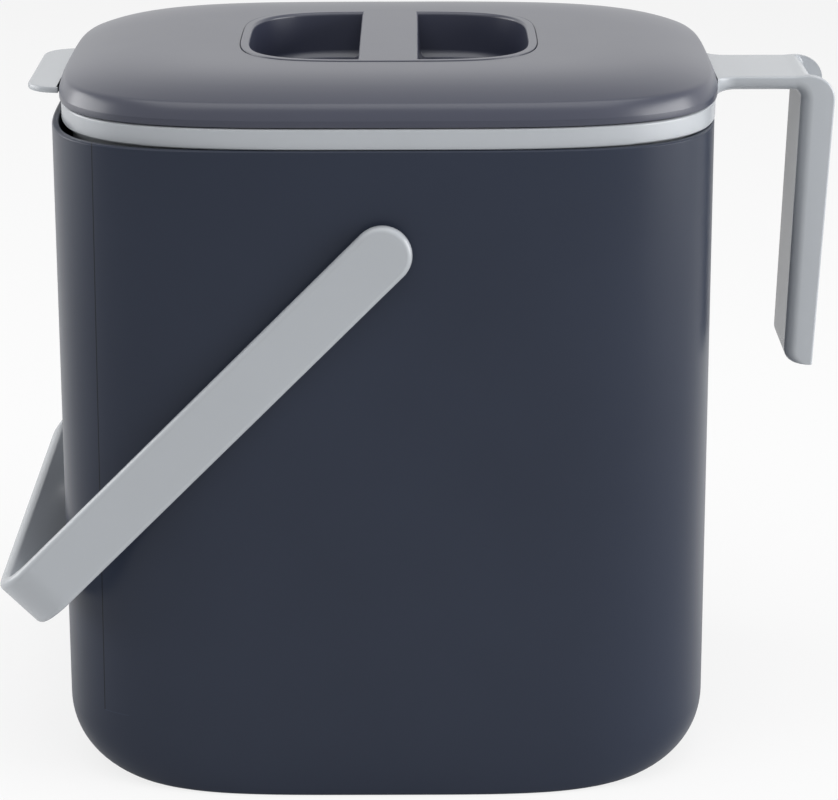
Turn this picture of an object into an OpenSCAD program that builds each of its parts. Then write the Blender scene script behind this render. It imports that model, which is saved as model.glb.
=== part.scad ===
// Compost caddy: an outer bucket, a lift-out liner bucket, a hinged lid and a swinging bail.
// Millimetres. X runs to the jug handle, Y to the hinge, Z up; the origin is the middle of the base.

/* [Bucket] */
// Width across the sides
bucket_w = 222; // [200:1:250]
// Depth from front to back
bucket_d = 186.3; // [170:0.1:210]
// Height of the rim above the base
bucket_h = 222; // [190:0.1:260]
// Squareness of the rounded-square plan
plan_power = 4.4; // [3.8:0.1:5.5]
// Thickness of the bucket's walls
bucket_wall = 2.2; // [1.8:0.1:2.8]
// Thickness of the bucket's floor
bucket_floor = 2.4; // [2:0.1:4]
// Radius of the bends from the sides to the floor
side_bend = 20; // [14:1:28]
// Radius of the edges from the front and back to the floor
front_bend = 1.3; // [0.8:0.1:3]
// Radius of the rim's edges
rim_edge = 0.6; // [0.3:0.1:0.8]

/* [Liner] */
// Height of the liner's rim band
band_h = 7; // [5.5:0.1:9]
// How far the band stands in from the bucket's side
band_inset = 0.9; // [0.6:0.1:1.6]
// Radius of the band's top edge
band_edge = 0.9; // [0.4:0.1:1.2]
// Play between the liner and the bucket's wall
liner_play = 2; // [2:0.1:2.4]
// Thickness of the liner's walls
liner_wall = 2; // [1.6:0.1:2.6]
// Draft of the liner's walls, in degrees
liner_draft = 1.2; // [0.6:0.1:2]
// Gap under the liner's floor
liner_lift = 2.4; // [1.5:0.1:6]
// How far the liner and lid sit off to the right
seat_shift = 1.7; // [0:0.1:1.7]
// Squareness of the liner's and lid's plan
seat_power = 3.85; // [3.6:0.05:4.4]

/* [Lift tab] */
// Width of the tab
tab_w = 71; // [40:1:90]
// How far the tab stands out from the band
tab_reach = 11.4; // [7:0.1:16]
// Thickness of the tab
tab_t = 2; // [1.6:0.1:3]
// Radius of the tab's corners
tab_corner = 11; // [3:0.5:12]
// Width of the web under the tab
tab_web = 34; // [24:1:38]

/* [Jug handle] */
// Width of the handle
jug_w = 40.5; // [34:0.5:60]
// Thickness of the arm
jug_arm_t = 5; // [4:0.1:7]
// Gap for the fingers between the bucket and the leg
jug_gap = 30.8; // [26:0.1:40]
// Depth of the leg at its bend
jug_leg_t = 11.3; // [9:0.1:14]
// Depth of the leg at its foot
jug_foot_t = 9.7; // [8:0.1:12]
// Drop from the arm's top to the leg's foot
jug_drop = 101.5; // [80:0.1:130]
// How far the leg leans in at its foot
jug_lean = 3.3; // [0:0.1:6]
// Radius of the grip's edges
jug_grip_edge = 4.2; // [2:0.1:5]
// Thickness of the leg's channel walls
jug_wall = 2.5; // [2:0.1:3.5]
// Radius of the leg's foot
foot_r = 5; // [3:0.1:7]
// Radius of the flare where the arm meets the band
jug_flare = 8; // [6:0.5:14]

/* [Lid] */
// Height of the lid's upright edge
lid_edge = 2.2; // [1.8:0.1:4]
// Rise of the tight roll above the edge
roll_h = 4.1; // [2.5:0.1:5]
// Width of the tight roll
roll_w = 2.4; // [2:0.1:4]
// Rise of the crown above the roll
crown_h = 6.7; // [4:0.1:9]
// Width of the crown's slope
crown_w = 46; // [34:1:52]
// Fullness of the crown's slope
crown_power = 3.5; // [2:0.1:4.5]
// Thickness of the lid's shell
lid_wall = 2; // [1.6:0.1:2.4]
// Gap between the lid and the liner's band
lid_gap = 0.3; // [0.2:0.1:0.6]
// How far the lid stands out past the band's sides
lid_over = 0.6; // [0.2:0.1:0.8]
// How far it stands out past the band's front and back
lid_over_front = 0.1; // [0:0.05:0.2]

/* [Grip] */
// Width of the grip insert
grip_w = 101.2; // [90:0.1:110]
// Depth of the grip insert
grip_d = 95.6; // [84:0.1:100]
// Squareness of the insert's plan
grip_power = 3.7; // [3:0.1:4.5]
// Width of the insert's ledge round the wells
grip_ledge = 3.3; // [3.2:0.1:5]
// Width of the lid's seat under the insert's rim
grip_seat = 1.2; // [0.8:0.1:1.4]
// Width of the bridge between the finger wells
bridge_w = 19.8; // [14:0.1:24]
// Depth of the finger wells
well_depth = 16.3; // [12:0.1:16.6]
// Thickness of the insert's walls
grip_wall = 1.5; // [1.4:0.1:2.2]
// How far the insert stands above the lid's top
grip_proud = 0.25; // [0:0.05:0.6]
// Seam between the insert and the lid
grip_seam = 0.15; // [0.1:0.05:0.3]

/* [Plug and seal] */
// Thickness of the plug's walls and floor
plug_wall = 2; // [1.8:0.1:2.2]
// Air between the wells' floors and the plug
plug_air = 0.3; // [0.3:0.1:0.6]
// Gap between the plug and the liner's mouth
plug_gap = 1.4; // [1.2:0.1:1.8]
// Height of the seal
seal_h = 2.6; // [2:0.1:3.4]
// Depth of the seal's groove
seal_groove = 0.8; // [0.5:0.1:1]
// Gap between the seal's lip and the liner
seal_gap = 0.35; // [0.3:0.05:0.6]

/* [Hinge] */
// Radius of the hinge pin
pin_r = 1.25; // [1:0.05:1.4]
// Radius of the hinge barrel
barrel_r = 2.8; // [2.5:0.1:2.9]
// Running clearance of the pin in the barrel
pin_play = 0.06; // [0.03:0.01:0.1]
// Fit of the pin in the ears
pin_fit = 0.02; // [0.01:0.01:0.03]
// Length of the hinge over its ears
hinge_l = 124; // [122:1:132]
// Thickness of the ears
ear_t = 5.7; // [4:0.1:8]
// Gap beside and round the barrel
hinge_gap = 0.4; // [0.3:0.05:0.6]

/* [Bail] */
// Width of the strap
strap_w = 19.4; // [14:0.1:22]
// Thickness of the strap
strap_t = 4.8; // [4:0.1:6]
// Radius of the strap's long edges
strap_edge = 1.9; // [0.8:0.1:1.9]
// Gap between the strap and the bucket
strap_gap = 1; // [0.9:0.05:1.2]
// Bend radius at the cross bar
bail_bend = 14.8; // [12:0.1:36]
// Clearance of the cross bar round the jug handle
bail_pass = 8.8; // [4:0.1:14]
// Gap between the hanging cross bar and the bucket's side
rest_gap = 0.9; // [0.3:0.1:2]
// Depth of the pivots below the rim
pivot_drop = 33.2; // [28:0.1:50]
// Radius of the pivot pegs
peg_r = 4; // [3:0.1:5]
// Running clearance of the pegs
peg_play = 0.06; // [0.03:0.01:0.1]
// How far the pegs end short of the wall's inner face
peg_short = 1.1; // [1:0.1:1.4]

/* [Hidden] */
outline_points = 60;
round_fn = 48;
eps = 0.01;

body_colour = [0.2, 0.22, 0.28];
liner_colour = [0.66, 0.68, 0.7];
lid_colour = [0.22, 0.24, 0.3];
seal_colour = [0.15, 0.15, 0.16];
pin_colour = [0.75, 0.75, 0.76];

half_w = bucket_w / 2;
half_d = bucket_d / 2;

// Liner
band_a = half_w - band_inset;
band_b = half_d - band_inset;
band_top = bucket_h + band_h;
liner_in = bucket_wall + liner_play;
liner_z0 = bucket_floor + liner_lift;
mouth_in = liner_in + liner_wall;

// Lid
lid_z0 = band_top + lid_gap;
lid_z1 = lid_z0 + lid_edge;
crown_flat = 40;
lid_a = band_a + lid_over;
lid_b = band_b + lid_over_front;
lid_top = lid_height(crown_flat);
grip_z1 = lid_top + grip_proud;
well_z0 = grip_z1 - well_depth;
plug_z1 = well_z0 - grip_wall - plug_air;
plug_z0 = plug_z1 - plug_wall;
plug_a = half_w - mouth_in - plug_gap;
plug_b = half_d - mouth_in - plug_gap;
flange_in = lid_wall + 1.2;
seal_z0 = plug_z0 + 1.2;

// Hinge: the barrel's front clears the plug, and the band below is cut down to let it turn
hinge_y = plug_b + 0.6 + barrel_r;
hinge_z = lid_z0 - 1;
notch_y = hinge_y - barrel_r - hinge_gap;
notch_z = hinge_z - barrel_r - hinge_gap;
barrel_l = hinge_l - 2 * ear_t - 2 * hinge_gap;

// Jug handle
arm_z1 = lid_z1;
arm_z0 = arm_z1 - jug_arm_t;
arm_x0 = seat_shift + lid_a + 0.3;
bend_r = 3;
bend_x = half_w + jug_gap - bend_r;
bend_z = arm_z0 - bend_r;
foot_z = arm_z1 - jug_drop;
leg_x_foot = half_w + jug_gap - jug_lean;
foot_x = leg_x_foot + jug_foot_t;

// Bail: its cross bar passes round the jug handle and comes to rest against the bucket's side
pivot_z = bucket_h - pivot_drop;
jug_sweep = max(norm([foot_x, pivot_z - foot_z]), norm([bend_x + bend_r + jug_leg_t, bend_z - pivot_z]));
bail_in = jug_sweep + bail_pass;
strap_in = half_d + strap_gap;
bail_rest = acos((half_w + rest_gap) / norm([bail_in, strap_w / 2])) - atan2(strap_w / 2, bail_in);

// A signed power, for the rounded-square outlines
function signed_pow(v, p) = sign(v) * pow(abs(v), p);

// One ring of points on a rounded-square outline
function ring(a, b, z, power = plan_power, x0 = 0, y0 = 0) =
    [for (i = [0 : outline_points - 1])
        let (t = 360 * i / outline_points)
        [x0 + a * signed_pow(cos(t), 2 / power), y0 + b * signed_pow(sin(t), 2 / power), z]];

// One ring of the liner or lid, which sit off to the right
function seat_ring(a, b, z) = ring(a, b, z, power = seat_power, x0 = seat_shift);

// How far a bend of radius r pulls a wall in at height h above its floor
function bend_in(h, r) = h >= r ? 0 : r - sqrt(max(0, r * r - (r - h) * (r - h)));

// Heights at which a bend of radius r gets a ring
function bend_steps(r, n) = [for (i = [0 : n]) r * (1 - cos(90 * i / n))];

// Triangles between neighbouring rings of k points, the last joined to the first in a loop
function ring_faces(m, k, looped) =
    [for (j = [0 : looped ? m - 1 : m - 2], i = [0 : k - 1])
        let (a = j * k + i, b = j * k + (i + 1) % k, c = ((j + 1) % m) * k + (i + 1) % k,
            d = ((j + 1) % m) * k + i)
        each [[a, d, c], [a, c, b]]];

// A solid through a stack of rings, closed by its first and last ring
module loft(rings) {
    m = len(rings);
    k = len(rings[0]);
    polyhedron([for (r = rings) each r],
        concat([[for (i = [0 : k - 1]) i]],
            [[for (i = [k - 1 : -1 : 0]) (m - 1) * k + i]],
            ring_faces(m, k, false)));
}

// A ring-shaped solid, whose last ring joins its first
module loft_loop(rings) {
    polyhedron([for (r = rings) each r], ring_faces(len(rings), len(rings[0]), true));
}

// A cylinder along X or Y, centred on its middle
module x_cylinder(r, l) { rotate([0, 90, 0]) cylinder(r = r, h = l, center = true, $fn = round_fn); }
module y_cylinder(r, l) { rotate([90, 0, 0]) cylinder(r = r, h = l, center = true, $fn = round_fn); }

// ---- outer bucket ----

module outer_bucket() {
    inner_bend = side_bend - bucket_wall;
    a_in = half_w - bucket_wall;
    b_in = half_d - bucket_wall;
    steps = concat([0, front_bend * 0.4, front_bend],
        [for (s = bend_steps(side_bend, 7)) if (s > front_bend) s]);
    outside = [for (h = steps)
        ring(half_w - bend_in(h, side_bend), half_d - bend_in(h, front_bend), h)];
    rim = [ring(half_w, half_d, bucket_h - rim_edge),
        ring(half_w - rim_edge, half_d - rim_edge, bucket_h),
        ring(a_in + rim_edge, b_in + rim_edge, bucket_h),
        ring(a_in, b_in, bucket_h - rim_edge)];
    inside = [for (i = [6 : -1 : 0]) let (h = bend_steps(inner_bend, 6)[i])
        ring(a_in - bend_in(h, inner_bend), b_in, bucket_floor + h)];
    color(body_colour) difference() {
        loft(concat(outside, rim, inside));
        for (side = [-1, 1])
            translate([0, side * (half_d - bucket_wall / 2), pivot_z])
                y_cylinder(peg_r + peg_play, bucket_wall * 3);
    }
}

// ---- liner bucket ----

// How far the liner's outer wall stands in at height z
function liner_inset(z) = liner_in + (bucket_h - z) * tan(liner_draft);

module liner_tub() {
    bend = side_bend;
    steps = bend_steps(bend, 6);
    outside = [for (h = steps) let (z = liner_z0 + h, s = liner_inset(z))
        seat_ring(half_w - s - bend_in(h, bend), half_d - s - bend_in(h, front_bend), z)];
    inner_bend = bend - liner_wall;
    floor_z = liner_z0 + liner_wall;
    band = [seat_ring(half_w - liner_in, half_d - liner_in, bucket_h),
        seat_ring(band_a - 0.8, band_b - 0.8, bucket_h),
        seat_ring(band_a, band_b, bucket_h + 0.7),
        seat_ring(band_a, band_b, band_top - band_edge),
        seat_ring(band_a - band_edge * 0.3, band_b - band_edge * 0.3, band_top - band_edge * 0.3),
        seat_ring(band_a - band_edge, band_b - band_edge, band_top),
        seat_ring(half_w - mouth_in + 0.5, half_d - mouth_in + 0.5, band_top),
        seat_ring(half_w - mouth_in, half_d - mouth_in, band_top - 0.5),
        seat_ring(half_w - mouth_in, half_d - mouth_in, bucket_h)];
    inside = [for (i = [6 : -1 : 0]) let (h = bend_steps(inner_bend, 6)[i], z = floor_z + h,
            s = liner_inset(z) + liner_wall)
        seat_ring(half_w - s - bend_in(h, inner_bend), half_d - s, z)];
    loft(concat(outside, band, inside));
}

module lift_tab() {
    x1 = band_a - seat_shift;
    clear_x = lid_a - seat_shift + 0.3;
    z0 = arm_z1 - tab_t;
    intersection() {
        rotate([90, 0, 0]) linear_extrude(tab_w, center = true)
            polygon([[-x1 - tab_reach, z0], [-clear_x, z0], [-clear_x, arm_z1 - 0.5],
                [-clear_x - 0.5, arm_z1], [-x1 - tab_reach + 0.4, arm_z1], [-x1 - tab_reach, arm_z1 - 0.4]]);
        translate([0, 0, z0 - 1]) linear_extrude(tab_t + 2)
            hull() {
                for (side = [-1, 1])
                    translate([-x1 - tab_reach + tab_corner, side * (tab_w / 2 - tab_corner)])
                        circle(tab_corner, $fn = 32);
                translate([-x1 + 2, -tab_w / 2]) square([2, tab_w]);
            }
    }
    rotate([90, 0, 0]) linear_extrude(tab_web, center = true)
        polygon([[-x1 + 1.2, band_top - 3.4], [-x1 - 0.8, band_top - 3], [-x1 - 2.7, band_top - 1.4],
            [-x1 - 3.4, z0 + 0.4], [-clear_x, z0 + 0.4], [-clear_x, band_top - 0.9],
            [-x1 + 1.2, band_top - 0.9]]);
}

// Depth of the handle's section at bend angle q, from the arm to the leg
function bend_depth(q) = jug_arm_t + (jug_leg_t - jug_arm_t) * pow(sin(q), 2);

// Stations down the handle: [x and z of the grip face, angle of its outward side, depth, half width]
function arm_flare(x) = bend_in(max(0, x - arm_x0 + 1), jug_flare);
arm_stations = [for (i = [0 : 7])
    let (x = i == 0 ? arm_x0 - 3.5 : arm_x0 - 1 + jug_flare * (1 - cos(90 * (i - 1) / 6)), f = arm_flare(x))
    [x, arm_z0 - f * 0.28, 90, jug_arm_t + f * 0.28, jug_w / 2 + f]];
bend_stations = [for (i = [0 : 6]) let (q = 15 * i)
    [bend_x + bend_r * sin(q), bend_z + bend_r * cos(q), 90 - q, bend_depth(q), jug_w / 2]];
function leg_x(z) = leg_x_foot + jug_lean * (z - foot_z) / (bend_z - foot_z);
function leg_depth(z) = jug_foot_t + (jug_leg_t - jug_foot_t) * (z - foot_z) / (bend_z - foot_z);
foot_stations = [for (i = [0 : 5]) let (q = 18 * i * 0.98, z = foot_z + foot_r * (1 - sin(q)),
        dx = foot_r * (1 - cos(q)))
    [leg_x(z) + dx, z, 0, leg_depth(z) - dx, jug_w / 2]];
jug_stations = concat(arm_stations, bend_stations, foot_stations);

// A station's section: a flat outer side, and a grip side with round edges
function jug_section(s) =
    let (r = min(jug_grip_edge, s[3] - 0.9), w = s[4], t = s[3], c = 0.5,
        flat = concat([[w - c, t], [w, t - c]],
            [for (i = [0 : 5]) [w - r + r * cos(18 * i), r - r * sin(18 * i)]],
            [for (i = [0 : 5]) [-w + r - r * sin(18 * i), r - r * cos(18 * i)]],
            [[-w, t - c], [-w + c, t]]))
    [for (p = flat) [s[0] + p[1] * cos(s[2]), -p[0], s[1] + p[1] * sin(s[2])]];

// Depth of the channel's floor over the grip face, running out slowly round the bend
function channel_floor(q) = bend_depth(q) + 0.3 - (jug_leg_t + 0.3 - jug_wall) * pow(sin(q), 4);

// The open channel in the back of the leg
module jug_channel() {
    w = jug_w / 2 - jug_wall;
    sections = concat(
        [for (i = [1 : 6]) let (q = 15 * i)
            [bend_x + bend_r * sin(q), bend_z + bend_r * cos(q), 90 - q, channel_floor(q)]],
        [for (i = [1 : 5]) let (q = 16 * i, z = foot_z + jug_wall + foot_r * (1 - sin(q)))
            [leg_x(z) + foot_r * (1 - cos(q)), z, 0, jug_wall]]);
    loft([for (s = sections) [for (p = [[w, s[3]], [w, s[3] + 22], [-w, s[3] + 22], [-w, s[3]]])
        [s[0] + p[1] * cos(s[2]), p[0], s[1] + p[1] * sin(s[2])]]]);
}

module jug_handle() {
    difference() {
        loft([for (s = jug_stations) jug_section(s)]);
        jug_channel();
        translate([0, -jug_w, band_top - 0.9]) cube([arm_x0, jug_w * 2, jug_arm_t * 2]);
    }
}

module ear(side) {
    x = side * (hinge_l / 2 - ear_t / 2) + seat_shift;
    translate([x, hinge_y, hinge_z]) x_cylinder(barrel_r, ear_t);
    translate([x - ear_t / 2, half_d - mouth_in + 0.2, bucket_h + 0.4])
        cube([ear_t, band_b - half_d + mouth_in - 0.4, hinge_z - bucket_h - 0.4]);
}

module liner_bucket() {
    color(liner_colour) difference() {
        union() {
            difference() {
                liner_tub();
                translate([seat_shift - hinge_l / 2, notch_y, notch_z]) cube([hinge_l, 20, 20]);
            }
            for (side = [-1, 1]) ear(side);
            lift_tab();
            jug_handle();
        }
        translate([seat_shift, hinge_y, hinge_z]) x_cylinder(pin_r + pin_fit, hinge_l + 2);
    }
}

// ---- lid ----

// Height of the lid's surface at inset s from its outline
function lid_height(s) = lid_z1 + roll_h * (1 - pow(1 - min(s, roll_w) / roll_w, 2))
    + crown_h * (1 - pow(1 - min(s, crown_w) / crown_w, crown_power));

function lid_ring(s, z) = seat_ring(lid_a - s, lid_b - s, z);
function grip_ring(s, z) = ring(grip_w / 2 - s, grip_d / 2 - s, z, power = grip_power, x0 = seat_shift);

module lid_skin() {
    slope = [0.12, 0.4, 0.9, 1.6, 2.4, 4, 7, 11, 16, 23, 31, crown_flat];
    under = [crown_flat - 3, 22, 12, 7, 3.4, 1.4, 0.3];
    seat_z = grip_z1 - grip_wall;
    loft_loop(concat(
        [lid_ring(0.4, lid_z0), lid_ring(0, lid_z0 + 0.4), lid_ring(0, lid_z1)],
        [for (s = slope) lid_ring(s, lid_height(s))],
        [grip_ring(-0.5, lid_top), grip_ring(0, lid_top - 0.3), grip_ring(0, seat_z),
            grip_ring(grip_seat, seat_z), grip_ring(grip_seat, seat_z - lid_wall),
            grip_ring(-2, seat_z - lid_wall), grip_ring(-3, lid_top - lid_wall)],
        [for (s = under) lid_ring(s + lid_wall, lid_height(s) - lid_wall)],
        [lid_ring(lid_wall, lid_z0)]));
}

module lid_shell() {
    wall_top = lid_height(lid_b - notch_y) - 0.7 * lid_wall;
    color(lid_colour) difference() {
        union() {
            difference() {
                lid_skin();
                translate([seat_shift - hinge_l / 2 - hinge_gap, notch_y, lid_z0 - 5])
                    cube([hinge_l + 2 * hinge_gap, 20, 30]);
            }
            translate([seat_shift - hinge_l / 2 - hinge_gap - 0.5, notch_y - lid_wall, lid_z0])
                cube([hinge_l + 2 * hinge_gap + 1, lid_wall, wall_top - lid_z0]);
            translate([seat_shift - barrel_l / 2, notch_y - 1, lid_z0])
                cube([barrel_l, hinge_y - notch_y + 1, hinge_z + barrel_r - lid_z0 - 0.2]);
            translate([seat_shift, hinge_y, hinge_z]) x_cylinder(barrel_r, barrel_l);
        }
        translate([seat_shift, hinge_y, hinge_z]) x_cylinder(pin_r + pin_play, barrel_l + 2);
    }
}

// The smaller of two values, with the corner between them rounded
function soft_min(a, b, r) = (a + b - sqrt((a - b) * (a - b) + r * r)) / 2;

// One ring of a finger well on the left (-1) or right (1) of the bridge
function well_ring(side, s, z) =
    [for (p = ring(grip_w / 2 - s, grip_d / 2 - s, z, power = grip_power))
        [seat_shift + side * -soft_min(-side * p[0], -(bridge_w / 2 + s - grip_ledge), 3), p[1], z]];

module finger_well(side) {
    top = grip_z1;
    rings = [well_ring(side, grip_ledge - 1.4, top + 1), well_ring(side, grip_ledge - 1, top + eps),
        well_ring(side, grip_ledge - 0.35, top - 0.4), well_ring(side, grip_ledge, top - 1.2),
        well_ring(side, grip_ledge + 0.6, well_z0 + 3), well_ring(side, grip_ledge + 1.4, well_z0 + 0.9),
        well_ring(side, grip_ledge + 3.2, well_z0)];
    loft([for (i = [len(rings) - 1 : -1 : 0]) rings[i]]);
}

module grip_insert() {
    tub_s = grip_seat + 0.2;
    seat_z = grip_z1 - grip_wall;
    bottom = well_z0 - grip_wall;
    color(body_colour) difference() {
        loft([grip_ring(tub_s + 2.4, bottom), grip_ring(tub_s + 0.6, bottom + 1.6),
            grip_ring(tub_s, seat_z), grip_ring(grip_seam, seat_z),
            grip_ring(grip_seam, grip_z1 - 0.3), grip_ring(grip_seam + 0.3, grip_z1)]);
        for (side = [-1, 1]) finger_well(side);
        translate([seat_shift - bridge_w / 2 + grip_wall + 0.8, -grip_d / 2 + 9, bottom - 1])
            cube([bridge_w - 2 * grip_wall - 1.6, grip_d - 18, well_depth - 1]);
    }
}

module lid_inner_plate() {
    color(liner_colour) difference() {
        loft([lid_plug_ring(1.2, plug_z0), lid_plug_ring(0.2, plug_z0 + 0.5), lid_plug_ring(0, seal_z0),
            lid_plug_ring(seal_groove, seal_z0), lid_plug_ring(seal_groove, seal_z0 + seal_h),
            lid_plug_ring(0, seal_z0 + seal_h), lid_plug_ring(0, lid_z0),
            lid_ring(flange_in, lid_z0), lid_ring(flange_in, lid_z0 + plug_wall),
            lid_plug_ring(plug_wall, lid_z0 + plug_wall), lid_plug_ring(plug_wall, plug_z1)]);
        translate([seat_shift - hinge_l / 2 - hinge_gap - 1, notch_y - lid_wall - 0.4, lid_z0 - 0.3])
            cube([hinge_l + 2 * hinge_gap + 2, 20, 20]);
    }
}

function lid_plug_ring(s, z) = seat_ring(plug_a - s, plug_b - s, z);

module lid_seal() {
    lip = plug_gap - seal_gap;
    color(seal_colour) loft_loop([
        lid_plug_ring(seal_groove, seal_z0), lid_plug_ring(-0.2, seal_z0),
        lid_plug_ring(-lip * 0.6, seal_z0 + seal_h * 0.35),
        lid_plug_ring(-lip, seal_z0 + seal_h * 0.8), lid_plug_ring(-lip * 0.9, seal_z0 + seal_h),
        lid_plug_ring(-lip * 0.5, seal_z0 + seal_h * 0.9), lid_plug_ring(-0.2, seal_z0 + seal_h),
        lid_plug_ring(seal_groove, seal_z0 + seal_h)]);
}

module hinge_pin() {
    color(pin_colour) translate([seat_shift, hinge_y, hinge_z]) x_cylinder(pin_r, hinge_l - 0.6);
}

// ---- bail ----

// The strap's section, its long edges rounded: [across the strap, through its thickness]
strap_section = [for (corner = [[1, 1], [-1, 1], [-1, -1], [1, -1]], q = [0 : 22.5 : 90])
    let (turn = corner[0] * corner[1] > 0 ? q : 90 - q)
    [corner[0] * (strap_w / 2 - strap_edge + strap_edge * cos(turn)),
        corner[1] * (strap_t / 2 - strap_edge + strap_edge * sin(turn))]];

// The strap's middle line: [distance from the pivots, y, angle of its outer side]
bail_line = let (y1 = strap_in + strap_t / 2, u1 = bail_in + strap_t / 2 - bail_bend)
    concat([[0, -y1, -90]],
        [for (q = [0 : 15 : 90]) [u1 + bail_bend * sin(q), -y1 + bail_bend * (1 - cos(q)), q - 90]],
        [for (q = [90 : -15 : 0]) [u1 + bail_bend * sin(q), y1 - bail_bend * (1 - cos(q)), 90 - q]],
        [[0, y1, 90]]);

module strap_end() {
    rotate_extrude($fn = round_fn) polygon(concat([[0, -strap_t / 2]],
        [for (q = [-90 : 22.5 : 0])
            [strap_w / 2 - strap_edge + strap_edge * cos(q), -strap_t / 2 + strap_edge + strap_edge * sin(q)]],
        [for (q = [0 : 22.5 : 90])
            [strap_w / 2 - strap_edge + strap_edge * cos(q), strap_t / 2 - strap_edge + strap_edge * sin(q)]],
        [[0, strap_t / 2]]));
}

module bail_handle() {
    peg_l = strap_gap + bucket_wall - peg_short;
    color(liner_colour) translate([0, 0, pivot_z]) rotate([0, -bail_rest, 0]) {
        loft([for (s = bail_line) [for (p = strap_section)
            [-s[0] - p[1] * cos(s[2]), s[1] + p[1] * sin(s[2]), -p[0]]]]);
        for (side = [-1, 1]) {
            translate([0, side * (strap_in + strap_t / 2), 0]) rotate([90, 0, 0]) strap_end();
            translate([0, side * (strap_in + eps - peg_l / 2), 0]) y_cylinder(peg_r, peg_l + eps);
        }
    }
}

outer_bucket();
liner_bucket();
lid_shell();
grip_insert();
lid_inner_plate();
lid_seal();
hinge_pin();
bail_handle();
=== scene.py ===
"""Looks of the compost caddy: camera, finishes, finer outlines of the same shapes, and studio."""
from math import acos, atan2, copysign, cos, hypot, pi, radians, sin, sqrt, tan
import bmesh
import bpy
from mathutils import Matrix, Vector


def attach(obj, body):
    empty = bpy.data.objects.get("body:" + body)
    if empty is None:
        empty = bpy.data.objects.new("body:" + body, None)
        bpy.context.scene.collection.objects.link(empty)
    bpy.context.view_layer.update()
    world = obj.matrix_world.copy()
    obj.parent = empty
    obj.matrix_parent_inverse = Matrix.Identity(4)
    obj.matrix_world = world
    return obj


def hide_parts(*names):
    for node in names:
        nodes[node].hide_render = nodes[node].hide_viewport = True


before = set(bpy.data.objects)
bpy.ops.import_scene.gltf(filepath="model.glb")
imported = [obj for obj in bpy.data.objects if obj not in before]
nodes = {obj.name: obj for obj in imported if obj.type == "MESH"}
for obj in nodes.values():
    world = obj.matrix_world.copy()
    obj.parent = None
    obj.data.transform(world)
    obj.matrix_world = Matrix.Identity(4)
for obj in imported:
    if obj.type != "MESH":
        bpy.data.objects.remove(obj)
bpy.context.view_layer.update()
MM = 0.001

# ---------------------------------------------------------------- camera, in metres and radians
CAMERA_AT = Vector((0.0116773, -1.108, 0.4448))
CAMERA_PITCH = 0.2922
CAMERA_ROLL = 0.002345
CAMERA_REACH = 20
FOCAL_PIXELS = 3260.6
IMAGE_WIDTH = 838
SENSOR_MM = 36.0

camera_data = bpy.data.cameras.new("camera")
camera_data.sensor_width = SENSOR_MM
camera_data.lens = FOCAL_PIXELS * SENSOR_MM / IMAGE_WIDTH
camera_data.clip_end = CAMERA_REACH
camera = bpy.data.objects.new("camera", camera_data)
pitch = Matrix.Rotation(pi / 2 - CAMERA_PITCH, 4, "X")
camera.matrix_world = Matrix.Translation(CAMERA_AT) @ pitch @ Matrix.Rotation(-CAMERA_ROLL, 4, "Z")
bpy.context.scene.collection.objects.link(camera)
bpy.context.scene.camera = camera
bpy.context.scene.view_settings.view_transform = "Standard"

# ---------------------------------------------------------------- materials
# Scales of the noises: flow tint, uneven gloss, moulded grain and the pin's streaks
CLOUD_SCALE, SMEAR_SCALE, GRAIN_SCALE, STREAK_SCALE = 14, 45, 2600, 900
CLOUD_ENDS = (0.3, 0.7)
GLOSS_SPREAD = 0.01
GRAIN_DEPTH = 0.0001
PIN_COLOUR = (0.62, 0.62, 0.63, 1)
PIN_GLOSS = (0.22, 0.4)

# The mould's parting line in metres, drawn as painted shade with a painted highlight on its step: it leans
# with height, and ends in a short step at its foot
LINE_X, LINE_LEAN, LINE_HALF, LINE_FOOT = -0.09522, 0.00825, 0.00014, 0.0262
STEP_X, STEP_HALF, STEP_Z = -0.0907, 0.0043, 0.0261
# Factors on the base colour: painted shade down the parting line, painted highlight on its step
LINE_PAINTED_SHADE, STEP_PAINTED_HIGHLIGHT = 0.1, 1.35


def linear(srgb):
    """An sRGB colour of 0-255 values as a linear RGBA colour."""
    channels = [c / 255 for c in srgb]
    return [c / 12.92 if c <= 0.04045 else ((c + 0.055) / 1.055) ** 2.4 for c in channels] + [1.0]


def new_material(name):
    material = bpy.data.materials.new(name)
    material.use_nodes = True
    tree = material.node_tree
    return material, tree, tree.nodes["Principled BSDF"]


def maths(tree, operation, *values):
    """A math node of numbers and other nodes' outputs."""
    node = tree.nodes.new("ShaderNodeMath")
    node.operation = operation
    for socket, value in zip(node.inputs, values):
        if isinstance(value, (int, float)):
            socket.default_value = value
        else:
            tree.links.new(value, socket)
    return node.outputs[0]


def noise(tree, scale, detail, vector):
    node = tree.nodes.new("ShaderNodeTexNoise")
    node.inputs["Scale"].default_value = scale
    node.inputs["Detail"].default_value = detail
    tree.links.new(vector, node.inputs["Vector"])
    return node.outputs["Fac"]


def uneven_gloss(tree, shader, pattern, low, high):
    """Roughness that wanders between two values."""
    gloss = tree.nodes.new("ShaderNodeMapRange")
    gloss.inputs["To Min"].default_value = low
    gloss.inputs["To Max"].default_value = high
    tree.links.new(pattern, gloss.inputs["Value"])
    tree.links.new(gloss.outputs["Result"], shader.inputs["Roughness"])


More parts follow.
